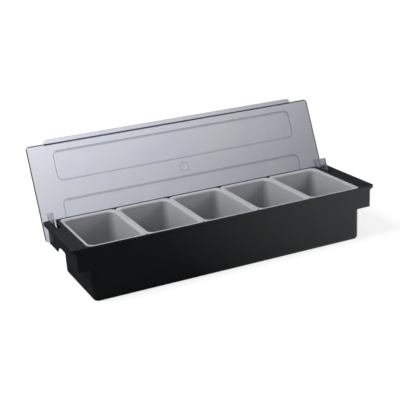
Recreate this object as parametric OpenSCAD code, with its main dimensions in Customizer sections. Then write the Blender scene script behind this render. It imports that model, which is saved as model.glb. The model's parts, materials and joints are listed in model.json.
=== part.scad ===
// Condiment caddy: a moulded bar tray with five lift-out inserts under one clear hinged lid.
// Millimetres, +Z up, origin on the table under the middle of the tray, +Y towards the hinge.

/* [Tray] */
// Length over the two end lips
caddy_len = 495; // [440:5:560]
// Width over the front and rear lips
caddy_w = 142; // [136:1:150]
// Height from the table to the top of the rim
caddy_h = 85; // [80:1:100]
// Thickness of the tray walls
wall = 2.4; // [2:0.1:3]
// How far the end lips reach past the end skirts
lip_reach = 6.6; // [5:0.2:7.4]
// How far each wall leans in from the rim to the base
wall_draft = 3.3; // [2.5:0.1:4]
// How far the hand-hold skirts hang down from the rim
skirt_depth = 35; // [25:1:45]
// Room for the fingers between the tub and each end skirt
hand_room = 17.2; // [16.8:0.2:17.4]

/* [Inserts] */
// Number of lift-out inserts in the row
insert_count = 5; // [5:1:5]
// Distance between the middles of two neighbouring inserts
insert_pitch = 89.4; // [87:0.2:89.4]
// Depth of an insert from its rim to its base
insert_depth = 76; // [50:1:77]
// Wall thickness of an insert
insert_wall = 1.3; // [1.2:0.1:1.6]
// Width of the flange at the two long sides of an insert
flange_w = 4.2; // [4.2:0.1:5]

/* [Lid] */
// Thickness of the clear lid
lid_t = 2.3; // [2:0.1:3]
// Length of the lid from its hinged tail to its free edge
lid_reach = 147.5; // [147:0.1:149]
// How far the open lid leans back from upright, in degrees
lid_lean = 22.3; // [20:0.1:25]
// Distance of the hinge pegs from the tail edge of the lid
peg_from_tail = 16.3; // [16.2:0.1:16.5]
// Depth of the hinge pegs under the lid
peg_depth = 15.8; // [15.6:0.1:16]
// How much higher the closed lid lies over its pegs than over the front rim
lid_rise = 3.2; // [3.1:0.1:3.5]
// Diameter of the hinge pegs
peg_d = 5; // [4:0.5:6]
// Height of the step up to the finger grip on the free edge
grip_rise = 4.5; // [3:0.5:6]

/* [Hidden] */
$fn = 48;
hull_fn = 32;
cut = 1; // how far a cutting tool runs past the face that it opens

// Rim and lip
lip_t = 4.9;
lip_overhang = 0.7;
lip_corner_r = 5;
rear_edge_r = 1;
rear_edge_steps = 12;
cove_h = 4.6;
cove_steps = 10;
wall_top_y = caddy_w / 2 - lip_overhang;
base_y = wall_top_y - wall_draft;
function wall_y(z) = base_y + wall_draft * z / caddy_h;

// Skirts and tub
skirt_x = caddy_len / 2 - lip_reach;
skirt_inner_x = skirt_x - 2.2;
skirt_bottom_z = caddy_h - skirt_depth;
tub_x = skirt_inner_x - hand_room;
tub_corner_r = 9;
tub_edge_r = 3;
skirt_corner_r = 1.5;
floor_t = 2.5;
cavity_y = wall_top_y - 6.1;
cavity_base_y = base_y - wall - 1;
cavity_corner_r = 8;
cavity_edge_r = 4;
ledge_t = 2.6;
notch_half_w = 27;
notch_h = 11;
notch_y = 1;
notch_steps = 24;

// The recess that the insert flanges sit in: the rim stands a little above the flanges
fit_gap = 0.3;
rim_t = 1.1;
rim_step = 1;
flange_t = 1.5;
flange_corner_r = 9;
flange_x = insert_pitch / 2 - 0.2;
flange_top_z = caddy_h - rim_step;
recess_z = flange_top_z - flange_t - fit_gap;
recess_x = insert_pitch * (insert_count - 1) / 2 + flange_x + 0.4;
recess_y = caddy_w / 2 - rim_t;
flange_y = recess_y - fit_gap;
shelf_t = 2.8;
shelf_w = 4.4;

// Inserts
body_x = flange_x - flange_w;
cavity_x = insert_pitch * (insert_count - 1) / 2 + body_x + 0.4;
body_y = cavity_y - 0.8;
body_taper_x = 3.2;
body_taper_y = 6;
body_corner_r = 11;
body_edge_r = 6;
body_base_z = flange_top_z - insert_depth;
body_top_z = flange_top_z - flange_t;

// Hinge: the closed lid rests on the front rim and rises a little to the rear, so that it swings past
// the rounded rear edge of the tray; the open lid's tail rests on the rear wall
lid_gap = 0.4;
lid_x = caddy_len / 2 - 1.3;
lid_corner_r = 5;
stop_gap = 0.45;
peg_z = caddy_h + lid_gap + lid_rise - peg_depth;
tail_z = peg_z - peg_from_tail * cos(lid_lean) - peg_depth * sin(lid_lean);
tail_y = wall_y(tail_z) + stop_gap;
peg_y = tail_y - peg_depth * cos(lid_lean) + peg_from_tail * sin(lid_lean);
peg_play = 0.05;
ear_t = 2.4;
ear_outer_x = skirt_inner_x - 2.9;
ear_from_tail = 7.5;
ear_reach = 40.7;
ear_depth = skirt_depth + 0.8;
ear_slope = 2.5;
ear_corner = 1.5;
boss_d = 10;
boss_x = ear_outer_x + 0.6;
socket_end_x = skirt_x - 0.9;
peg_end_x = socket_end_x - 0.2;
slot_w = 7;
ear_radius = norm([ear_reach - peg_from_tail, ear_depth - peg_depth]);
ledge_over_peg = caddy_h - ledge_t - peg_z;
slot_front_y = peg_y - sqrt(ear_radius * ear_radius - ledge_over_peg * ledge_over_peg) - 0.6;
slot_rear_y = caddy_w / 2 + cut;
rear_slot_y = wall_y(skirt_bottom_z) - wall - cut;

// Raised areas, finger grip and gate mark of the lid
panel_x = 206.2;
panel_margin = 13;
panel_w = 46;
panel_rise = 1.6;
panel_wall = 2.2;
panel_corner_r = 8;
grip_x = 216;
grip_reach = 6.9;
grip_corner_r = 4.5;
gate_d = 15;
gate_rise = 0.6;

module rounded_rect(size_x, size_y, r) {
    square([size_x - 2 * r, size_y], center = true);
    square([size_x, size_y - 2 * r], center = true);
    for (sx = [-1, 1], sy = [-1, 1])
        translate([sx * (size_x / 2 - r), sy * (size_y / 2 - r)])
            circle(r);
}

// A slab with a round-cornered outline, standing on z = 0
module slab(half_x, half_y, r, height) {
    linear_extrude(height)
        rounded_rect(2 * half_x, 2 * half_y, r);
}

// A block that grows from a round-edged base to its top, with round upright edges
module tapered_block(base_half, top_half, z0, z1, corner_r, edge_r) {
    hull() {
        for (sx = [-1, 1], sy = [-1, 1]) {
            translate([sx * (base_half.x - corner_r), sy * (base_half.y - corner_r), z0 + edge_r])
                rotate_extrude($fn = hull_fn)
                    intersection() {
                        translate([corner_r - edge_r, 0])
                            circle(edge_r, $fn = hull_fn);
                        translate([0, -edge_r])
                            square([corner_r, 2 * edge_r]);
                    }
            translate([sx * (top_half.x - corner_r), sy * (top_half.y - corner_r), z1 - 0.01])
                cylinder(r = corner_r, h = 0.01, $fn = hull_fn);
        }
    }
}

// An outline drawn in Y and Z, run along X between two places
module run_along_x(x0, x1) {
    translate([x0, 0, 0])
        rotate([90, 0, 90])
            linear_extrude(x1 - x0)
                children();
}

// An outline drawn in X and Z, run along Y about the middle
module run_along_y(half_y) {
    translate([0, half_y, 0])
        rotate([90, 0, 0])
            linear_extrude(2 * half_y)
                children();
}

module both_ends() {
    children();
    mirror([1, 0, 0])
        children();
}

// Outer form of the skirts: the front and rear walls carried on past the tub
module skirt_block() {
    hull() {
        translate([0, 0, skirt_bottom_z])
            slab(skirt_x, wall_y(skirt_bottom_z), skirt_corner_r, 0.01);
        translate([0, 0, caddy_h - 0.01])
            slab(skirt_x, wall_top_y, skirt_corner_r, 0.01);
    }
}

// The rim and both end lips
module lip_plate() {
    translate([0, 0, caddy_h - lip_t])
        slab(caddy_len / 2, caddy_w / 2, lip_corner_r, lip_t);
}

// Finger room between the tub and an end skirt, open at the bottom
module hand_hollow() {
    low_z = skirt_bottom_z - cut;
    high_z = caddy_h - ledge_t;
    low_y = wall_y(low_z) - wall;
    high_y = wall_y(high_z) - wall;
    run_along_x(tub_x - tub_corner_r - cut, skirt_inner_x)
        polygon([[-low_y, low_z], [low_y, low_z], [high_y, high_z], [-high_y, high_z]]);
}

// Concave underside of an end lip
module lip_cove() {
    top_z = caddy_h - lip_t;
    arc_x = skirt_x + lip_reach;
    arc_z = top_z - cove_h;
    arc = [
        for (i = [0:cove_steps])
            let (a = 180 - 90 * i / cove_steps)
            [arc_x + lip_reach * cos(a), arc_z + cove_h * sin(a)]
    ];
    run_along_y(wall_top_y - lip_corner_r)
        polygon(concat(arc, [[skirt_x - 1, top_z], [skirt_x - 1, arc_z]]));
}

// Finger notch in the lower edge of an end skirt
module skirt_notch() {
    arch = [
        for (i = [0:notch_steps])
            let (a = 180 * i / notch_steps)
            [notch_y + notch_half_w * cos(a), skirt_bottom_z + notch_h * sin(a)]
    ];
    low = skirt_bottom_z - cut;
    run_along_x(skirt_inner_x - cut, skirt_x + cut)
        polygon(concat(arch, [[notch_y - notch_half_w, low], [notch_y + notch_half_w, low]]));
}

// Slot for a lid ear, through the ledge and down the rear wall of the skirt
module ear_slot() {
    translate([boss_x - slot_w, slot_front_y, caddy_h - ledge_t - cut])
        cube([slot_w, slot_rear_y - slot_front_y, ledge_t + 2 * cut]);
    translate([boss_x - slot_w, rear_slot_y, skirt_bottom_z - cut])
        cube([slot_w, slot_rear_y - rear_slot_y, skirt_depth + 2 * cut]);
}

// Takes the corner off the rear edge of the rim, to let the lid's tail swing round it
module rear_edge_round() {
    arc_y = caddy_w / 2 - rear_edge_r;
    arc_z = caddy_h - rear_edge_r;
    arc = [
        for (i = [0:rear_edge_steps])
            let (a = 90 * i / rear_edge_steps)
            [arc_y + rear_edge_r * cos(a), arc_z + rear_edge_r * sin(a)]
    ];
    far_y = caddy_w / 2 + cut;
    run_along_x(-caddy_len / 2 - cut, caddy_len / 2 + cut)
        polygon(concat(arc, [[arc_y, caddy_h + cut], [far_y, caddy_h + cut], [far_y, arc_z]]));
}

module hinge_boss() {
    translate([boss_x, peg_y, peg_z])
        rotate([0, 90, 0])
            cylinder(d = boss_d, h = skirt_inner_x - boss_x + 0.5);
}

module hinge_socket() {
    translate([boss_x - cut, peg_y, peg_z])
        rotate([0, 90, 0])
            cylinder(d = peg_d + 2 * peg_play, h = socket_end_x - boss_x + cut);
}

// Shelf under the outer flange of an end insert
module end_shelf() {
    shelf_y = wall_y(recess_z - shelf_t) - 0.5;
    translate([tub_x - 1, -shelf_y, recess_z - shelf_t])
        cube([shelf_w + 1, 2 * shelf_y, shelf_t + 0.5]);
}

module tray() {
    color([0.10, 0.11, 0.11])
        difference() {
            union() {
                difference() {
                    union() {
                        skirt_block();
                        lip_plate();
                    }
                    both_ends() hand_hollow();
                }
                tapered_block([tub_x, base_y], [tub_x, wall_top_y], 0, caddy_h, tub_corner_r, tub_edge_r);
                both_ends() lip_cove();
                both_ends() hinge_boss();
                both_ends() end_shelf();
            }
            tapered_block([cavity_x - 1, cavity_base_y], [cavity_x, cavity_y],
                floor_t, caddy_h + cut, cavity_corner_r, cavity_edge_r);
            translate([0, 0, recess_z])
                slab(recess_x, recess_y, flange_corner_r + 0.4, caddy_h);
            rear_edge_round();
            both_ends() skirt_notch();
            both_ends() ear_slot();
            both_ends() hinge_socket();
        }
}

module insert(place) {
    inner_base_z = body_base_z + insert_wall + 0.2;
    base_x = body_x - body_taper_x;
    base_half_y = body_y - body_taper_y;
    translate([(place - (insert_count - 1) / 2) * insert_pitch, 0, 0])
        color([0.93, 0.93, 0.91])
            difference() {
                union() {
                    tapered_block([base_x, base_half_y], [body_x, body_y],
                        body_base_z, body_top_z + 0.5, body_corner_r, body_edge_r);
                    translate([0, 0, body_top_z])
                        slab(flange_x, flange_y, flange_corner_r, flange_t);
                }
                tapered_block([base_x - insert_wall, base_half_y - insert_wall],
                    [body_x - insert_wall, body_y - insert_wall], inner_base_z, caddy_h + cut,
                    body_corner_r - insert_wall, body_edge_r - insert_wall);
            }
}

// The lid lies in its own plane here: tail on y = 0, inner face on z = 0, ears towards +z
module raised_area(y0, inset, z0, z1) {
    translate([0, y0 + panel_w / 2, z0])
        slab(panel_x - inset, panel_w / 2 - inset, panel_corner_r - inset, z1 - z0);
}

module lid_ear() {
    tip = [
        [ear_from_tail, ear_depth - ear_corner],
        [ear_from_tail + ear_corner, ear_depth],
        [ear_reach - ear_corner, ear_depth],
        [ear_reach, ear_depth - ear_corner]
    ];
    run_along_x(ear_outer_x - ear_t, ear_outer_x)
        polygon(concat(tip, [[ear_reach + ear_slope, -lid_t / 2], [ear_from_tail, -lid_t / 2]]));
    translate([ear_outer_x - ear_t / 2, peg_from_tail, peg_depth])
        rotate([0, 90, 0])
            cylinder(d = peg_d, h = peg_end_x - ear_outer_x + ear_t / 2);
}

module finger_grip() {
    translate([0, lid_reach + (grip_reach - lid_t) / 2, -grip_rise - lid_t])
        slab(grip_x, (grip_reach + lid_t) / 2, grip_corner_r, lid_t);
    translate([-grip_x, lid_reach - lid_t, -grip_rise - lid_t / 2])
        cube([2 * grip_x, lid_t, grip_rise + lid_t / 2]);
}

module flat_lid() {
    far_panel_y = lid_reach - panel_margin - panel_w;
    difference() {
        union() {
            translate([0, lid_reach / 2, -lid_t])
                slab(lid_x, lid_reach / 2, lid_corner_r, lid_t);
            for (y0 = [panel_margin, far_panel_y])
                raised_area(y0, 0, -lid_t - panel_rise, -lid_t / 2);
            translate([0, lid_reach / 2, -lid_t - gate_rise])
                cylinder(d = gate_d, h = gate_rise + lid_t / 2);
            both_ends() lid_ear();
            finger_grip();
        }
        for (y0 = [panel_margin, far_panel_y])
            raised_area(y0, panel_wall, -panel_rise, cut);
    }
}

module lid() {
    color([0.75, 0.75, 0.8, 0.6])
        translate([0, tail_y, tail_z])
            rotate([90 - lid_lean, 0, 0])
                flat_lid();
}

tray();
insert(0);  // insert_1
insert(1);  // insert_2
insert(2);  // insert_3
insert(3);  // insert_4
insert(4);  // insert_5
lid();
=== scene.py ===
# %% [markdown]
# # A bar caddy for garnishes, dressed for a studio picture
# The real object is a long black moulded tray with five pale lift-out bins and one smoky clear lid that leans
# back on two pegs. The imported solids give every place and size. This notebook gives each of them its moulded
# edges, its draft and its plastic, and then sets lights and a camera round it.

import json
import math

import bpy
import numpy as np
from mathutils import Matrix, Vector

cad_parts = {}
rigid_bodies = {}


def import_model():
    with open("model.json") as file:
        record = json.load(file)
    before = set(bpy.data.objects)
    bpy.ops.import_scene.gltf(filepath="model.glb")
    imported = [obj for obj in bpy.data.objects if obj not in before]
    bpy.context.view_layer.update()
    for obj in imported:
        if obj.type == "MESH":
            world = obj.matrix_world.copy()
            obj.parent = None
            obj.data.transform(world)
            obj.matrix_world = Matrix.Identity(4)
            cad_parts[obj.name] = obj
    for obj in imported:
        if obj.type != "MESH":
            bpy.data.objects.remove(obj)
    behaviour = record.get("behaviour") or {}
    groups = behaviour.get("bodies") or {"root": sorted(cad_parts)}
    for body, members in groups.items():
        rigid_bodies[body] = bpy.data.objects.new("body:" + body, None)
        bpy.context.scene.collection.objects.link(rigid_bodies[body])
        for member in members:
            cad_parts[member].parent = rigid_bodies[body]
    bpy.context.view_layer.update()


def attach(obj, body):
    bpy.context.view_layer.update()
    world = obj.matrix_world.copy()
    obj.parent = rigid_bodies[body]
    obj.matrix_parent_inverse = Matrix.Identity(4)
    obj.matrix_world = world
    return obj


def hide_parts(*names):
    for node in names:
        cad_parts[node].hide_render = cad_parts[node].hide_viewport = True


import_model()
MM = 0.001

# %% [markdown]
# ## Sizes
# All pieces are drawn in millimetres, because Blender's cutting and edge tools keep more digits there, and are
# turned into metres at the very end. The walls lean in towards the base so that the real tray leaves its mould.

# %% Sizes of the tray, in millimetres
LIP_X, LIP_Y, TOP_Z = 247.5, 71.0, 85.0
SKIRT_X, SKIRT_IN_X, SKIRT_Z, SKIRT_R = 240.9, 238.7, 50.0, 1.5
TUB_X, TUB_R, WALL, LEDGE_T = 221.5, 9.0, 2.4, 2.6
BASE_Y, DRAFT = 67.0, 3.3


def wall_y(z):
    """Half depth of the tray at height z: the base's, growing in a straight line by the draft up to the rim."""
    return BASE_Y + DRAFT * z / TOP_Z


print("tray walls lean in by", round(math.degrees(math.atan(DRAFT / TOP_Z)), 2), "degrees")

# %% [markdown]
# ## Helpers: rings and runs
# A moulded box is a stack of rings: each ring is a rounded rectangle, and the rings follow a profile up the
# outside and, for a bin, down the inside again. A cube with bevelled edges would be quicker, but it has one radius
# all over, while a ring can change its size and its radius with height. A bar with one section is a run of that
# section along X. Both are grids of points, so numpy works them out at once, without a loop over the vertices.


# %% Rings and runs
def rounded_outline(half_x, half_y, radius, steps=10):
    """Rounded rectangle, anticlockwise: the middle of each corner arc lies one radius in from both sides, and
    its points lie a radius away from it at angles that run over that corner's quarter turn."""
    turn = np.linspace(0, np.pi / 2, steps)[None, :] + np.arange(4)[:, None] * np.pi / 2
    side_x = np.array([1, -1, -1, 1])[:, None]
    side_y = np.array([1, 1, -1, -1])[:, None]
    x = side_x * (half_x - radius) + radius * np.cos(turn)
    y = side_y * (half_y - radius) + radius * np.sin(turn)
    return np.stack([x.ravel(), y.ravel()], 1)


def stack_rings(profile, steps=10, middle=(0.0, 0.0)):
    """One rounded rectangle per profile row (half length, half depth, corner radius, height)."""
    rings = [np.c_[rounded_outline(a, b, r, steps) + middle, np.full(4 * steps, z)] for a, b, r, z in profile]
    return np.array(rings)


def run_rings(section, x0, x1):
    """The same closed section of (y, z) points at x0 and again at x1."""
    section = np.asarray(section, float)
    return np.array([np.c_[np.full(len(section), x), section] for x in (x0, x1)])


def arc(middle, radius, start, end, steps=10):
    """Points a radius away from the middle, at even angles (in degrees) from start to end."""
    turn = np.radians(np.linspace(start, end, steps))
    return np.array(middle) + radius * np.c_[np.cos(turn), np.sin(turn)]


print("helpers ready: rounded_outline, stack_rings, run_rings, arc")


# %% From rings to a closed mesh
def closed_solid(name, rings):
    """Joins each ring to the next with four-sided faces, closes both ends with one face each, and turns all faces
    round if the enclosed volume comes out negative."""
    count, around = rings.shape[:2]
    i, j = np.meshgrid(np.arange(count - 1), np.arange(around), indexing="ij")
    k = (j + 1) % around
    sides = np.stack([i * around + j, i * around + k, (i + 1) * around + k, (i + 1) * around + j], -1)
    points = rings.reshape(-1, 3)
    a, b, c, d = (points[sides[..., n].ravel()] for n in range(4))
    first, last = rings[0].mean(0), rings[-1].mean(0)
    volume = np.einsum("ij,ij->", a - first, np.cross(c - a, d - b)) / 6
    top = rings[-1] - first
    volume += np.einsum("ij,ij->", top, np.cross(np.roll(top, -1, 0), last - first)) / 6
    faces = sides.reshape(-1, 4).tolist()
    faces += [list(range(around))[::-1], list(range((count - 1) * around, count * around))]
    if volume < 0:
        faces = [face[::-1] for face in faces]
    mesh = bpy.data.meshes.new(name)
    mesh.from_pydata(points.tolist(), [], faces)
    piece = bpy.data.objects.new(name, mesh)
    bpy.context.scene.collection.objects.link(piece)
    return piece


def count_triangles(piece):
    return sum(len(p.vertices) - 2 for p in piece.data.polygons)


print("helpers ready: closed_solid, count_triangles")

# %% [markdown]
# ## Joining and cutting
# A mould adds and takes away whole forms, and so does Blender's Boolean modifier. Moving faces by hand would have
# to be done again after each change of size, while a cut only needs its tool. Each one is applied at once, which
# leaves a plain mesh for the next. The Exact solver copes with faces that lie in one plane.


# %% Join and cut
def freeze(piece):
    """Applies what the piece's modifiers make of it."""
    graph = bpy.context.evaluated_depsgraph_get()
    made = bpy.data.meshes.new_from_object(piece.evaluated_get(graph))
    old = piece.data
    piece.modifiers.clear()
    piece.data = made
    bpy.data.meshes.remove(old)


def combine(piece, tool, operation):
    """Joins a tool to the piece (UNION) or cuts it out (DIFFERENCE), and removes the tool."""
    step = piece.modifiers.new("combine", "BOOLEAN")
    step.operation, step.solver, step.object = operation, "EXACT", tool
    freeze(piece)
    mesh = tool.data
    bpy.data.objects.remove(tool)
    bpy.data.meshes.remove(mesh)


def add(piece, tool):
    combine(piece, tool, "UNION")


def cut(piece, tool):
    combine(piece, tool, "DIFFERENCE")


print("helpers ready: add, cut")

# %% [markdown]
# ## Moulded edges
# No moulded edge is quite sharp, and its rounding is what catches the light. A shader can fake that, but it leaves
# the outline sharp, so the edges are rounded in the mesh. Weighted normals then keep the large flat faces flat
# where they meet the small rounded ones.


# %% Round the edges and shade
def soften_edges(piece, width, angle=32.0, segments=2):
    """Merges flat neighbours into one face, then rounds every edge that is sharper than the angle."""
    flat = piece.modifiers.new("flat", "DECIMATE")
    flat.decimate_type, flat.angle_limit = "DISSOLVE", math.radians(0.4)
    freeze(piece)
    round_off = piece.modifiers.new("round off", "BEVEL")
    round_off.width, round_off.segments = width, segments
    round_off.limit_method, round_off.angle_limit = "ANGLE", math.radians(angle)
    round_off.use_clamp_overlap, round_off.miter_outer = False, "MITER_ARC"
    freeze(piece)


def shade(piece, angle=40.0):
    """Smooth shading that stays crisp over an angle and keeps the big flat faces flat."""
    piece.data.shade_smooth()
    piece.data.set_sharp_from_angle(angle=math.radians(angle))
    weigh = piece.modifiers.new("flat faces rule", "WEIGHTED_NORMAL")
    weigh.keep_sharp, weigh.weight = True, 60


print("helpers ready: soften_edges, shade")

# %% [markdown]
# ## The tray: outside
# The tub and the skirts share one front wall. One mesh for both would need its skirt and its lip bent out of the
# tub's faces, so three plain forms are combined instead: an upper body over the full length, from the skirts' lower
# edge to the rim, which flares into the end lips; the finger room, which is cut out of it round the tub; and the
# lower tub with its broadly rounded foot, which is joined on underneath.

# %% Lower tub with a rounded foot
FOOT_X, FOOT_Y, FOOT_Z = 4.5, 3.0, 6.0
quarter = np.linspace(-np.pi / 2, 0, 8)
LOWER_ROUND = np.c_[1 + np.sin(quarter), 1 - np.cos(quarter)]  # how far up and how far in, in radii


def tub_row(z, share=0.0):
    """Half sizes of the tub at height z, less a share of what the rounding of the foot takes off."""
    return TUB_X - FOOT_X * share, wall_y(z) - FOOT_Y * share, TUB_R - FOOT_X * share, z


foot = [tub_row(FOOT_Z * up, inward) for up, inward in LOWER_ROUND]
lower_tub = closed_solid("lower_tub", stack_rings(foot + [tub_row(SKIRT_Z)], 12))
print("lower tub:", count_triangles(lower_tub), "triangles")

# %% Upper body with its end lips
LIP_Z, LIP_R, COVE_H, GROW_Y, GROW_R = 80.1, 5.0, 4.6, 0.6, 3.2
COVE_Z = LIP_Z - COVE_H


def flare_row(a):
    """The cove under the lip is a quarter of an ellipse: outwards by 1 - cos, upwards by sin, while the depth and
    the corner radius grow with the square of the angle."""
    grown = (a / 90) ** 2
    return (LIP_X - (LIP_X - SKIRT_X) * math.cos(math.radians(a)), wall_y(COVE_Z) + GROW_Y * grown,
            SKIRT_R + GROW_R * grown, COVE_Z + COVE_H * math.sin(math.radians(a)))


skirt_edge = (SKIRT_X, wall_y(SKIRT_Z), SKIRT_R, SKIRT_Z)
flare = [flare_row(a) for a in np.linspace(0, 82, 9)]
# each row: what the edge takes off the half length, the half depth and the corner radius, and its height
rim_edge = [(0.3, 0.15, 0.1, LIP_Z + 0.15), (0, 0, 0, LIP_Z + 0.6), (0, 0, 0, TOP_Z - 0.5),
            (0.12, 0.12, 0.1, TOP_Z - 0.16), (0.45, 0.45, 0.4, TOP_Z)]
rim = [(LIP_X - x, LIP_Y - y, LIP_R - r, z) for x, y, r, z in rim_edge]
tray = closed_solid("tray_shell", stack_rings([skirt_edge] + flare + rim, 12))
print("upper body:", count_triangles(tray), "triangles")

# %% Finger room
ROOM_FROM_X = 205.0
SHELF_X, SHELF_HALF_X, SHELF_HALF_Y, SHELF_Z = 215.9, 10.0, 80.0, 79.4


def finger_room(side):
    """Tapered room between the tub and one skirt, less the tub's own round corners and the shelf at its top."""
    low, high = SKIRT_Z - 1, TOP_Z - LEDGE_T
    section = [(-wall_y(low) + WALL, low), (wall_y(low) - WALL, low),
               (wall_y(high) - WALL, high), (-wall_y(high) + WALL, high)]
    room = closed_solid("room", run_rings(section, ROOM_FROM_X, SKIRT_IN_X) * (side, 1, 1))
    cut(room, closed_solid("tub", stack_rings([tub_row(z) for z in (SKIRT_Z - 3, SKIRT_Z, TOP_Z - 1)], 12)))
    shelf = [(SHELF_HALF_X, SHELF_HALF_Y, 1, z) for z in (SHELF_Z, TOP_Z - 1)]
    cut(room, closed_solid("shelf", stack_rings(shelf, 4, (side * SHELF_X, 0))))
    return room


for side in (1, -1):
    cut(tray, finger_room(side))
add(tray, lower_tub)
print("outer form:", count_triangles(tray), "triangles")

# %% [markdown]
# ## The tray: inside and openings
# The bins hang in a shallow recess that runs round the mouth. Each end ledge has a slot for one ear of the lid,
# which goes on down the rear wall, and each skirt has a finger notch in its lower edge and a blind socket
# behind a boss for the lid's peg. The rear edge is rounded, because the tail of the lid swings round it. All of
# these go through the finished outer form, so each is a cutting tool that reaches past it.

# %% Hollow, recess and rear edge
FLOOR_Z, HOLLOW_X, HOLLOW_Y, HOLLOW_R, HOLLOW_EDGE = 2.5, 218.5, 63.6, 8.0, 4.0
RECESS, RECESS_Z, REAR_R = (223.7, 69.9, 9.4), 82.2, 1.0
OVER_TOP, BEHIND_Y = 87.0, 74.0  # where a tool that opens the top or the rear wall ends


def inner_row(z, inset=0.0):
    """Half sizes of the tray's hollow, which widens a little towards its mouth."""
    share = (z - FLOOR_Z) / (TOP_Z + 1 - FLOOR_Z)
    return HOLLOW_X + share - inset, HOLLOW_Y + 0.6 * share - inset, HOLLOW_R - inset, z


hollow = [inner_row(FLOOR_Z + HOLLOW_EDGE * up, HOLLOW_EDGE * inward) for up, inward in LOWER_ROUND]
cut(tray, closed_solid("hollow", stack_rings(hollow + [inner_row(TOP_Z + 1)], 12)))
cut(tray, closed_solid("recess", stack_rings([(*RECESS, RECESS_Z), (*RECESS, OVER_TOP)], 12)))
rear = np.vstack([arc((LIP_Y - REAR_R, TOP_Z - REAR_R), REAR_R, 0, 90, 10),
                  [(LIP_Y - REAR_R, OVER_TOP), (BEHIND_Y - 1, OVER_TOP), (BEHIND_Y - 1, TOP_Z - REAR_R)]])
cut(tray, closed_solid("rear_round", run_rings(rear, -LIP_X - 2.5, LIP_X + 2.5)))
print("tray with hollow and recess:", count_triangles(tray), "triangles")

# %% Notches, slots and sockets
NOTCH_Y, NOTCH_HALF, NOTCH_H = 1.0, 27.0, 11.0
SLOT_X = (229.4, 236.4)
LEDGE_SLOT, REAR_SLOT = (30.4, 81.4), (65.54, 48.0)  # front end (y) and lower end (z) of each
PEG_Y, PEG_Z, PEG_R, PEG_PLAY = 61.02, 72.8, 2.5, 0.05
BOSS_R, BOSS_END_X, SOCKET_X = 5.0, 239.3, (235.0, 240.0)


def round_bar(name, middle, radius, x0, x1, side):
    """Round bar along X at the right end (side 1) or the left end (side -1)."""
    return closed_solid(name, run_rings(arc(middle, radius, 0, 345, 24), x0, x1) * (side, 1, 1))


half_turn = np.linspace(0, np.pi, 33)
notch = np.vstack([np.c_[NOTCH_Y + NOTCH_HALF * np.cos(half_turn), SKIRT_Z + NOTCH_H * np.sin(half_turn)],
                   [(NOTCH_Y - NOTCH_HALF, SKIRT_Z - 2), (NOTCH_Y + NOTCH_HALF, SKIRT_Z - 2)]])
for side in (1, -1):
    cut(tray, closed_solid("notch", run_rings(notch, SKIRT_IN_X - 1, SKIRT_X + 1) * (side, 1, 1)))
    for y, z in (LEDGE_SLOT, REAR_SLOT):
        slot = [(y, z), (BEHIND_Y, z), (BEHIND_Y, OVER_TOP), (y, OVER_TOP)]
        cut(tray, closed_solid("slot", run_rings(slot, *SLOT_X) * (side, 1, 1)))
    add(tray, round_bar("boss", (PEG_Y, PEG_Z), BOSS_R, SLOT_X[1], BOSS_END_X, side))
    cut(tray, round_bar("socket", (PEG_Y, PEG_Z), PEG_R + PEG_PLAY, *SOCKET_X, side))
soften_edges(tray, width=0.35)
print("tray with openings and rounded edges:", count_triangles(tray), "triangles")

# %% [markdown]
# ## The bins
# A bin is one skin of plastic, so it is one profile carried round one rounded rectangle: up the outside from the
# base, out under the flange, over the flange's edge, and down the inside to the floor. A box with a Solidify
# modifier would give an even wall too, but not the wide rounding into the mouth. Here only the profile has to be
# drawn, and every corner follows it.

# %% Profile of a bin
FLANGE_X, FLANGE_Y, FLANGE_Z, FLANGE_R = 44.5, 69.6, 82.5, 9.0
BIN_X, BIN_Y, BIN_TOP_Z, BIN_R, BIN_WALL, LEAST_R = 40.3, 63.4, 84.0, 11.0, 1.3, 4.0
BIN_LEAN_X, BIN_LEAN_Y, MOUTH_R = 3.2, 6.0, 3.0
BIN_BASE_Z, BASE_EDGE, BIN_FLOOR_Z, FLOOR_EDGE = 8.0, 6.0, 9.5, 4.7


def bin_row(z, base_z, wall, inset=0.0):
    """Half sizes of the tapered bin wall at height z, moved in by the wall thickness and by an edge's inset."""
    share = (z - base_z) / (FLANGE_Z - base_z)
    return (BIN_X - BIN_LEAN_X * (1 - share) - wall - inset, BIN_Y - BIN_LEAN_Y * (1 - share) - wall - inset,
            max(BIN_R - wall - inset, LEAST_R), z)


def bin_profile():
    """Rows for the outside, the flange, the rounding into the mouth, and the inside."""
    outside = [bin_row(BIN_BASE_Z + BASE_EDGE * up, BIN_BASE_Z, 0, BASE_EDGE * inward) for up, inward in LOWER_ROUND]
    outside += [(BIN_X, BIN_Y, BIN_R, FLANGE_Z - 0.4), (BIN_X + 0.3, BIN_Y + 0.3, BIN_R, FLANGE_Z)]
    flange = [(FLANGE_X - i, FLANGE_Y - i, FLANGE_R - i, z) for i, z in
              ((0.3, FLANGE_Z), (0.0, FLANGE_Z + 0.3), (0.0, BIN_TOP_Z - 0.5), (0.14, BIN_TOP_Z - 0.14),
               (0.5, BIN_TOP_Z))]
    turn = np.linspace(0, np.pi / 2, 10)
    mouth = [(BIN_X - BIN_WALL + MOUTH_R * out, BIN_Y - BIN_WALL + MOUTH_R * out, BIN_R - BIN_WALL + 0.8 * out,
              BIN_TOP_Z - MOUTH_R * down) for out, down in np.c_[1 - np.sin(turn), 1 - np.cos(turn)]]
    inside = [bin_row(BIN_FLOOR_Z + FLOOR_EDGE * up, BIN_FLOOR_Z, BIN_WALL, FLOOR_EDGE * inward)
              for up, inward in LOWER_ROUND[::-1]]
    return outside + flange + mouth + inside


profile = bin_profile()
print("bin profile:", len(profile), "rings")

# %% Five bins
PITCH = 89.4
bin_rings = stack_rings(profile, 12)
bins = []
for number in range(1, 6):
    piece = closed_solid(f"bin_{number}", bin_rings + ((number - 3) * PITCH, 0, 0))
    bins.append(piece)
print("one bin:", count_triangles(bins[0]), "triangles;", len(bins), "bins")

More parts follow.
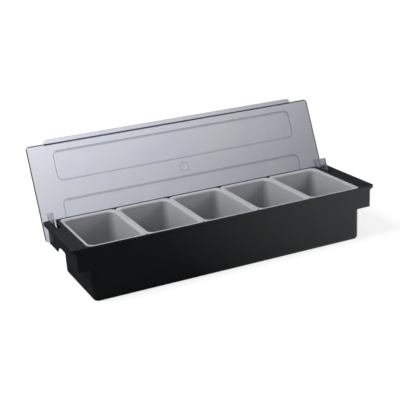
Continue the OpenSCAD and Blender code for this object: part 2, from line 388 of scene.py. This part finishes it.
# %% [markdown]
# ## The lid
# The lid is drawn lying on its inner face, tail edge on Y = 0, and is leaned back at the end. Two raised areas
# stiffen it: each is a tray-shaped form joined to the outside with the same form, one wall smaller, cut out of
# the inside, so that its wall stays even. A round mark in the middle shows where the plastic entered the mould.

# %% Lid panel, raised areas and gate mark
LID_X, LID_REACH, LID_T, LID_R = 246.2, 147.5, 2.3, 5.0
HALF_REACH = LID_REACH / 2
RAISED_X, RAISED_Y, RAISED_R, RAISED_IN = 206.2, 23.0, 8.0, 36.0
lid_edge = [(0.7, -LID_T), (0.2, -2.1), (0.0, -1.6), (0.0, -0.7), (0.2, -0.2), (0.7, 0.0)]
lid = closed_solid("lid_panel", stack_rings(
    [(LID_X - i, HALF_REACH - i, LID_R - i, z) for i, z in lid_edge], 10, (0, HALF_REACH)))

outer_form = [(0.5, -1.2), (0.4, -2.3), (0.1, -3.5), (0.0, -3.75), (-0.3, -3.9)]
inner_form = [(-1.2, 1.0), (-1.4, -0.2), (-1.7, -1.3), (-1.8, -1.5), (-2.1, -1.6)]
for middle_y in (RAISED_IN, LID_REACH - RAISED_IN):
    for form, join in ((outer_form, add), (inner_form, cut)):
        join(lid, closed_solid("raised", stack_rings(
            [(RAISED_X + i, RAISED_Y + i, RAISED_R + i, z) for i, z in form], 10, (0, middle_y))))
gate = [(7.6, -1.2), (7.5, -2.6), (7.2, -2.85), (6.6, -2.9)]
button = [(6.5, -1.0), (6.5, 0.05), (6.2, 0.2), (5.6, 0.28)]
dome = [(3.8, -1.0), (3.8, 0.2), (3.4, 0.5), (2.5, 0.8), (1.2, 0.95)]
for name, form, steps in (("gate", gate, 10), ("button", button, 8), ("dome", dome, 8)):
    add(lid, closed_solid(name, stack_rings([(r, r, r, z) for r, z in form], steps, (0, HALF_REACH))))
print("lid panel:", count_triangles(lid), "triangles")

# %% [markdown]
# ## Grip, ears and pegs
# The free edge steps up to a finger grip, which is a riser with a rounded tongue on it. Two ears hang from the
# sides and carry the pegs that snap into the tray. All of it is one moulding on the real lid, so each form is
# joined to the panel and not laid against it: clear plastic would show the faces in between.


# %% Finger grip, ears, pegs and lean
def move_points(piece, matrix):
    piece.data.transform(matrix)
    piece.data.update()


PEG_FROM_TAIL, PEG_DEPTH, PEG_X = 16.3, 15.8, (234.6, 239.8)
GRIP_X, GRIP_HALF_Y, GRIP_R, GRIP_Z = 216.0, 4.6, 4.5, -6.6
EAR_X = (233.4, 235.8)
grip_root = (LID_REACH - LID_T, LID_REACH)
riser = [(grip_root[0], -1.2), (grip_root[0], GRIP_Z), (grip_root[1], GRIP_Z), (grip_root[1], -1.2)]
add(lid, closed_solid("riser", run_rings(riser, 0.4 - GRIP_X, GRIP_X - 0.4)))
tongue = [(0.6, -6.8), (0.1, -6.5), (0.0, -6.0), (0.0, -5.2), (0.1, -4.8), (0.6, -4.5)]
add(lid, closed_solid("tongue", stack_rings(
    [(GRIP_X - i, GRIP_HALF_Y - i, GRIP_R - i, z) for i, z in tongue], 6, (0, grip_root[0] + GRIP_HALF_Y))))
ear = [(7.5, -1.15), (43.2, -1.15), (40.7, 34.3), (39.2, 35.8), (9.0, 35.8), (7.5, 34.3)]
for side in (1, -1):
    add(lid, closed_solid("ear", run_rings(ear, *EAR_X) * (side, 1, 1)))
    add(lid, round_bar("peg", (PEG_FROM_TAIL, PEG_DEPTH), PEG_R, *PEG_X, side))
soften_edges(lid, width=0.3)
LEAN = math.radians(22.3)
tail_z = PEG_Z - PEG_FROM_TAIL * math.cos(LEAN) - PEG_DEPTH * math.sin(LEAN)
tail_y = PEG_Y + PEG_DEPTH * math.cos(LEAN) - PEG_FROM_TAIL * math.sin(LEAN)
move_points(lid, Matrix.Translation((0, tail_y, tail_z)) @ Matrix.Rotation(math.pi / 2 - LEAN, 4, "X"))
print("lid:", count_triangles(lid), "triangles, tail edge at", round(tail_y, 2), round(tail_z, 2))

# %% [markdown]
# ## Into metres, and onto the frame
# Every piece takes the place of its solid and rides on that solid's body, so it moves as the solid does. Parenting
# by hand would do the same for one pose only.

# %% Scale, ride and replace
pieces = {"tray": tray, "lid": lid, **{f"insert_{n + 1}": b for n, b in enumerate(bins)}}
for node, piece in pieces.items():
    move_points(piece, Matrix.Scale(MM, 4))
    shade(piece)
    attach(piece, node)
    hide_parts(node)
print("pieces on their bodies:", ", ".join(pieces))

# %% [markdown]
# ## Shared finishes
# Moulded plastic is never quite smooth: the mould leaves a fine even grain, and handling polishes the edges and
# leaves faint scuffs. Painted pictures wrapped round each piece could show that, but noise in the piece's own
# coordinates needs no unwrapping and shows no seam. Both effects are node groups, built once and used with
# different values in each plastic.


# %% Small node helpers
def new_group(name, inputs, outputs):
    group = bpy.data.node_groups.new(name, "ShaderNodeTree")
    for label, kind, default in inputs:
        group.interface.new_socket(label, in_out="INPUT", socket_type=kind).default_value = default
    for label, kind in outputs:
        group.interface.new_socket(label, in_out="OUTPUT", socket_type=kind)
    return group, group.nodes.new("NodeGroupInput"), group.nodes.new("NodeGroupOutput")


def noise(tree, place, scale, detail=2.0, roughness=0.5):
    """Noise at the given place, which is a vector socket."""
    node = tree.nodes.new("ShaderNodeTexNoise")
    tree.links.new(place, node.inputs["Vector"])
    for label, value in (("Scale", scale), ("Detail", detail), ("Roughness", roughness)):
        node.inputs[label].default_value = value
    return node


def ramp(tree, value, low, high, out_low=0.0, out_high=1.0):
    """Takes a value that runs from low to high to one that runs from out_low to out_high, and stops there."""
    node = tree.nodes.new("ShaderNodeMapRange")
    for socket, number in zip(node.inputs[1:5], (low, high, out_low, out_high)):
        socket.default_value = number
    tree.links.new(value, node.inputs[0])
    return node.outputs[0]


def math_node(tree, operation, a, b=0.0):
    """One operation on a and b, each a number or a socket."""
    node = tree.nodes.new("ShaderNodeMath")
    node.operation = operation
    for socket, value in zip(node.inputs, (a, b)):
        if isinstance(value, (int, float)):
            socket.default_value = value
        else:
            tree.links.new(value, socket)
    return node.outputs[0]


print("helpers ready: new_group, noise, ramp, math_node")


# %% Node group: moulded grain
def grain_group():
    """Height = fine noise plus a share of slow waviness; Blotch = slow noise between 0 and 1."""
    group, enter, leave = new_group("moulded_grain", [
        ("Vector", "NodeSocketVector", (0, 0, 0)), ("Grain Scale", "NodeSocketFloat", 1800.0),
        ("Waviness", "NodeSocketFloat", 0.3)], [("Height", "NodeSocketFloat"), ("Blotch", "NodeSocketFloat")])
    place = enter.outputs["Vector"]
    fine, slow = noise(group, place, 1800.0, 3.0, 0.6), noise(group, place, 22.0, 3.0, 0.55)
    group.links.new(enter.outputs["Grain Scale"], fine.inputs["Scale"])
    waves = math_node(group, "MULTIPLY", slow.outputs["Fac"], enter.outputs["Waviness"])
    group.links.new(math_node(group, "ADD", fine.outputs["Fac"], waves), leave.inputs["Height"])
    group.links.new(ramp(group, slow.outputs["Fac"], 0.35, 0.65), leave.inputs["Blotch"])
    return group


GRAIN = grain_group()
print("node group:", GRAIN.name)


# %% Node group: handling marks
def scuff_group():
    """Scuffs = long thin noise, stretched along X and cut off high, times a slow noise that gathers it in places;
    Wear = how far the rounded normal turns away from the true one, broken up by noise."""
    group, enter, leave = new_group("handling_marks", [
        ("Vector", "NodeSocketVector", (0, 0, 0)), ("Edge Width", "NodeSocketFloat", 0.001)],
        [("Scuffs", "NodeSocketFloat"), ("Wear", "NodeSocketFloat")])
    place = enter.outputs["Vector"]
    stretch = group.nodes.new("ShaderNodeMapping")
    stretch.inputs["Scale"].default_value = (18, 260, 420)
    stretch.inputs["Rotation"].default_value = (0.1, 0.06, 0.18)
    group.links.new(place, stretch.inputs["Vector"])
    lines, areas = noise(group, stretch.outputs["Vector"], 1.0, 4.0, 0.7), noise(group, place, 14.0)
    thin = ramp(group, lines.outputs["Fac"], 0.62, 0.74)
    patch = ramp(group, areas.outputs["Fac"], 0.45, 0.65)
    group.links.new(math_node(group, "MULTIPLY", thin, patch), leave.inputs["Scuffs"])
    rounded, geometry = group.nodes.new("ShaderNodeBevel"), group.nodes.new("ShaderNodeNewGeometry")
    group.links.new(enter.outputs["Edge Width"], rounded.inputs["Radius"])
    dot = group.nodes.new("ShaderNodeVectorMath")
    dot.operation = "DOT_PRODUCT"
    group.links.new(rounded.outputs["Normal"], dot.inputs[0])
    group.links.new(geometry.outputs["Normal"], dot.inputs[1])
    edges = ramp(group, dot.outputs["Value"], 0.995, 0.90)
    chips = noise(group, place, 160.0, 3.0, 0.65)
    broken = ramp(group, chips.outputs["Fac"], 0.35, 0.6)
    group.links.new(math_node(group, "MULTIPLY", edges, broken), leave.inputs["Wear"])
    return group


MARKS = scuff_group()
print("node group:", MARKS.name)

# %% [markdown]
# ## One recipe for the plastics
# All three plastics are the same kind of surface: a colour with faint blotches and paler worn edges, a gloss that
# the scuffs dull, and the grain as a bump. One function builds that from each plastic's values, and whatever only
# one of them has is added afterwards.


# %% Moulded plastic
def new_material(name):
    """A material, its tree and shader, and the piece's own coordinates."""
    material = bpy.data.materials.new(name)
    material.use_nodes = True
    tree = material.node_tree
    shader = tree.nodes["Principled BSDF"]
    place = tree.nodes.new("ShaderNodeTexCoord").outputs["Object"]
    return material, tree, shader, place


def use_group(tree, group, place, **values):
    node = tree.nodes.new("ShaderNodeGroup")
    node.node_tree = group
    tree.links.new(place, node.inputs["Vector"])
    for label, value in values.items():
        node.inputs[label.replace("_", " ")].default_value = value
    return node


def mix_colour(tree, mask, a, b):
    """Colour a where the mask is 0 and colour b where it is 1; a may be a socket."""
    node = tree.nodes.new("ShaderNodeMix")
    node.data_type = "RGBA"
    node.inputs["A"].default_value = (*a, 1) if isinstance(a, tuple) else (0, 0, 0, 1)
    node.inputs["B"].default_value = (*b, 1)
    if not isinstance(a, tuple):
        tree.links.new(a, node.inputs["A"])
    tree.links.new(mask, node.inputs["Factor"])
    return node.outputs["Result"]


BLOTCH_SHARE, WEAR_SHARE = 0.5, 0.45  # how much of the second and the third colour is laid on
BLOTCH_MATT, SCUFF_MATT, GRAIN_BUMP = 0.06, 0.1, 0.35


def moulded_plastic(name, colour, blotch_colour, worn_colour, rough, grain_scale, grain_depth, specular):
    """Material with the shared recipe; it also returns the tree, the shader and the piece's own coordinates."""
    material, tree, shader, place = new_material(name)
    grain = use_group(tree, GRAIN, place, Grain_Scale=grain_scale)
    marks = use_group(tree, MARKS, place)
    blotched = math_node(tree, "MULTIPLY", grain.outputs["Blotch"], BLOTCH_SHARE)
    worn = math_node(tree, "MULTIPLY", marks.outputs["Wear"], WEAR_SHARE)
    tone = mix_colour(tree, worn, mix_colour(tree, blotched, colour, blotch_colour), worn_colour)
    tree.links.new(tone, shader.inputs["Base Color"])
    matt = ramp(tree, grain.outputs["Blotch"], 0, 1, rough, rough + BLOTCH_MATT)
    dulled = math_node(tree, "ADD", matt, math_node(tree, "MULTIPLY", marks.outputs["Scuffs"], SCUFF_MATT))
    tree.links.new(dulled, shader.inputs["Roughness"])
    shader.inputs["Specular IOR Level"].default_value = specular
    bump = tree.nodes.new("ShaderNodeBump")
    bump.inputs["Strength"].default_value, bump.inputs["Distance"].default_value = GRAIN_BUMP, grain_depth
    tree.links.new(grain.outputs["Height"], bump.inputs["Height"])
    tree.links.new(bump.outputs["Normal"], shader.inputs["Normal"])
    return material, tree, shader, place


print("helpers ready: new_material, use_group, mix_colour, moulded_plastic")

# %% [markdown]
# ## Black tray and pale bins
# The tray is satin black with a fine grain. The bins are a pale grey that lets a little light in: subsurface
# scattering does that without the noise of real transparency. Lower down, the bins' colour is painted greyer:
# painted shade deep in the bins, where the light that wanders through the plastic doesn't reach.


# %% Satin black, pale grey
def axes_of(tree, vector):
    """The X, Y and Z sockets of a vector socket."""
    node = tree.nodes.new("ShaderNodeSeparateXYZ")
    tree.links.new(vector, node.inputs[0])
    return node.outputs


def tint(tree, shader, mask, colour):
    """Lay one more colour over what already feeds Base Color, where the mask is 1."""
    below = shader.inputs["Base Color"].links[0].from_socket
    tree.links.new(mix_colour(tree, mask, below, colour), shader.inputs["Base Color"])


black = moulded_plastic("satin_black", colour=(0.0118, 0.0152, 0.0166), blotch_colour=(0.0140, 0.0174, 0.0190),
                        worn_colour=(0.03, 0.032, 0.033), rough=0.34, grain_scale=2200.0, grain_depth=0.00004,
                        specular=0.3)[0]

pale, tree, shader, place = moulded_plastic(
    "pale_bin", colour=(0.48, 0.485, 0.51), blotch_colour=(0.51, 0.515, 0.535), worn_colour=(0.58, 0.58, 0.60),
    rough=0.38, grain_scale=1500.0, grain_depth=0.00003, specular=0.5)
shader.inputs["Subsurface Weight"].default_value = 0.25
shader.inputs["Subsurface Radius"].default_value = (0.004, 0.004, 0.004)
shader.inputs["Subsurface Scale"].default_value = 1.0
# painted shade: the bins' colour is painted greyer towards the bottom, where less light reaches
depth = ramp(tree, axes_of(tree, place)["Z"], 0.083, 0.03, 0.0, 0.8)
tint(tree, shader, depth, (0.22, 0.225, 0.24))
print("materials:", black.name, pale.name)

# %% [markdown]
# ## Smoky clear lid
# A clear sheet looks dark at its edges, because light that enters there runs a long way inside the plastic. A
# volume that absorbs light could show that, but it is slow and noisy in so thin a sheet, so the narrow faces are
# given
# painted shade by masks: one from the direction a face looks in, one from the distance to the free edge and to the
# sides.


# %% Smoky clear
def dot_with(tree, vector, direction):
    """How far a vector socket reaches along a fixed direction."""
    node = tree.nodes.new("ShaderNodeVectorMath")
    node.operation = "DOT_PRODUCT"
    node.inputs[1].default_value = direction
    tree.links.new(vector, node.inputs[0])
    return node.outputs["Value"]


clear, tree, shader, place = moulded_plastic(
    "smoky_clear", colour=(0.67, 0.695, 0.79), blotch_colour=(0.75, 0.73, 0.75), worn_colour=(0.78, 0.79, 0.84),
    rough=0.1, grain_scale=900.0, grain_depth=0.00002, specular=0.5)
shader.inputs["Transmission Weight"].default_value = 0.88
shader.inputs["IOR"].default_value = 1.49
normal = place.node.outputs["Normal"]
across = dot_with(tree, normal, (0, -math.cos(LEAN), math.sin(LEAN)))
along = dot_with(tree, place, (0, math.sin(LEAN), math.cos(LEAN)))
top_edge = MM * (LID_REACH - 0.6 + tail_y * math.sin(LEAN) + tail_z * math.cos(LEAN))
from_top = math_node(tree, "ABSOLUTE", math_node(tree, "SUBTRACT", along, top_edge))
from_middle = math_node(tree, "ABSOLUTE", axes_of(tree, place)["X"])
steep = ramp(tree, math_node(tree, "ABSOLUTE", across), 0.85, 0.35)
broad = ramp(tree, math_node(tree, "ABSOLUTE", axes_of(tree, normal)["X"]), 0.7, 0.95, 0.5, 0.22)
print("the lid's free edge lies", round(top_edge, 4), "m from the origin, measured up the lid")

# %% Painted shade at the lid's edges
NEAR_TOP, CLEAR_OF_TOP = (0.0013, 0.0009), (0.003, 0.006)  # distances in metres over which these masks change
side_faces = math_node(tree, "MULTIPLY", math_node(tree, "MULTIPLY", steep, broad),
                       ramp(tree, from_top, *CLEAR_OF_TOP))
# painted shade on the lid's narrow faces
tint(tree, shader, side_faces, (0.24, 0.24, 0.26))
beside_grip = ramp(tree, from_middle, MM * (GRIP_X - 0.5), MM * (GRIP_X + 0.5))
free_edge = math_node(tree, "MULTIPLY", ramp(tree, from_top, *NEAR_TOP), beside_grip)
side_edge = ramp(tree, from_middle, MM * (LID_X - 1.8), MM * (LID_X - 1.3))
outline = math_node(tree, "MAXIMUM", free_edge, side_edge)
# painted shade: a dark line along the lid's free edge and its sides
tint(tree, shader, math_node(tree, "MULTIPLY", outline, 0.95), (0.05, 0.05, 0.06))
for node, piece in pieces.items():
    piece.data.materials.clear()
    piece.data.materials.append({"tray": black, "lid": clear}.get(node, pale))
print("materials:", black.name, pale.name, clear.name)

# %% [markdown]
# ## Studio: floor and world
# The room is dim and the light comes from big soft lamps, so black plastic stays black. The floor is wide enough
# to fill the view: seen directly it is white but keeps a soft shadow. What gloss and clear plastic show of it is a
# graded sheet, dark to bright in mirrored rays and bright to grey in rays that went through the lid. Real cards
# round the object would do the same, but they would get in the way of a camera that walks round it.

# %% Floor
FLOOR_REACH, FLOOR_DROP = 14.0, 0.0002
floor_mesh = bpy.data.meshes.new("floor")
corners = [(x * FLOOR_REACH, y * FLOOR_REACH, 0) for x, y in ((-1, -1), (1, -1), (1, 1), (-1, 1))]
floor_mesh.from_pydata(corners, [], [(0, 1, 2, 3)])
floor = bpy.data.objects.new("floor", floor_mesh)
bpy.context.scene.collection.objects.link(floor)
floor.location.z = -FLOOR_DROP
print("floor reaches", floor_mesh.vertices[2].co.x, "m to each side")

# %% What each kind of ray sees of the floor
floor_material, tree, shader, place = new_material("studio_floor")
shader.inputs["Roughness"].default_value = 0.9
shader.inputs["Specular IOR Level"].default_value = 0.1
shader.inputs["Emission Color"].default_value = (1, 1, 1, 1)
position = axes_of(tree, place)
radius = tree.nodes.new("ShaderNodeVectorMath")
radius.operation = "LENGTH"
tree.links.new(place, radius.inputs[0])
SLANT = 0.9  # the sheet seen through the lid is graded across the floor, along X less this share of Y
slant = math_node(tree, "SUBTRACT", position["X"], math_node(tree, "MULTIPLY", position["Y"], SLANT))
rays = tree.nodes.new("ShaderNodeLightPath")
seen, glossy, through = (rays.outputs[f"Is {kind} Ray"] for kind in ("Camera", "Glossy", "Transmission"))
mirrored = math_node(tree, "GREATER_THAN", glossy, through)
glow = [math_node(tree, "MULTIPLY", ray, light) for ray, light in (
    (seen, ramp(tree, radius.outputs["Value"], 0.5, 2.6, 0.72, 1.0)),
    (mirrored, ramp(tree, position["X"], -0.06, 0.34, 0.04, 1.6)),
    (through, ramp(tree, slant, -0.85, 0.1, 1.32, 0.38)))]
total = math_node(tree, "ADD", math_node(tree, "ADD", glow[0], glow[1]), glow[2])
tree.links.new(total, shader.inputs["Emission Strength"])
not_seen = math_node(tree, "MAXIMUM", mirrored, through)
tree.links.new(mix_colour(tree, not_seen, (0.42, 0.42, 0.42), (0.02, 0.02, 0.02)), shader.inputs["Base Color"])
floor_mesh.materials.append(floor_material)
print("floor material:", floor_material.name)

# %% World
BACKDROP, AS_LIGHT = 1.0, 0.08
world = bpy.data.worlds.new("studio")
bpy.context.scene.world = world
world.use_nodes = True
tree = world.node_tree
background = tree.nodes["Background"]
rays = tree.nodes.new("ShaderNodeLightPath")
strength = ramp(tree, rays.outputs["Is Camera Ray"], 0, 1, AS_LIGHT, BACKDROP)
tree.links.new(strength, background.inputs["Strength"])
background.inputs["Color"].default_value = (1, 1, 1, 1)
print("world strength:", BACKDROP, "as a backdrop,", AS_LIGHT, "as light")

# %% [markdown]
# ## Lamps
# One big lamp from the left draws the form, and two weaker ones open the shadows on the right and in the bins.
# Small lamps would leave hard glints on the gloss; the right one is kept out of reflections for the same reason.


# %% Three soft lamps
def softbox(name, place, aim, size, power, mirrored=True):
    lamp = bpy.data.lights.new(name, "AREA")
    lamp.shape, lamp.size, lamp.size_y, lamp.energy = "RECTANGLE", *size, power
    holder = bpy.data.objects.new(name, lamp)
    bpy.context.scene.collection.objects.link(holder)
    holder.location = place
    holder.rotation_euler = (Vector(aim) - Vector(place)).to_track_quat("-Z", "Y").to_euler()
    holder.visible_glossy = holder.visible_transmission = mirrored


softbox("key_left", place=(-1.15, 0.15, 1.5), aim=(0, 0, 0.08), size=(1.0, 1.0), power=29.5)
softbox("right_fill", place=(0.9, -0.6, 0.6), aim=(0.1, 0, 0.08), size=(0.5, 0.5), power=4.5, mirrored=False)
softbox("top_fill", place=(0.5, -0.3, 2.0), aim=(0, 0, 0.05), size=(1.4, 1.4), power=6)

# %% [markdown]
# ## Camera
# The camera stands to the front left, a little above the rim, with a long lens: a short one close by would make the
# near end of so long a piece look much larger than the far end.

# %% Camera
LENS, SENSOR, FAR_CLIP = 84.785, 36.0, 60  # the first two in millimetres, the last in metres
CAMERA_AT = (-0.569565, -1.239244, 0.542746)
TURN, TILT, ROLL = -23.915, 71.673, -3.871  # degrees: round the upright, up from straight down, round the view
camera_data = bpy.data.cameras.new("camera")
camera_data.lens, camera_data.sensor_width, camera_data.clip_end = LENS, SENSOR, FAR_CLIP
camera = bpy.data.objects.new("camera", camera_data)
bpy.context.scene.collection.objects.link(camera)
view = (Matrix.Rotation(math.radians(TURN), 4, "Z") @ Matrix.Rotation(math.radians(TILT), 4, "X")
        @ Matrix.Rotation(math.radians(ROLL), 4, "Z"))
camera.matrix_world = Matrix.Translation(CAMERA_AT) @ view
bpy.context.scene.camera = camera
bpy.context.scene.view_settings.view_transform = "Standard"
print("camera at", [round(v, 3) for v in camera.location])
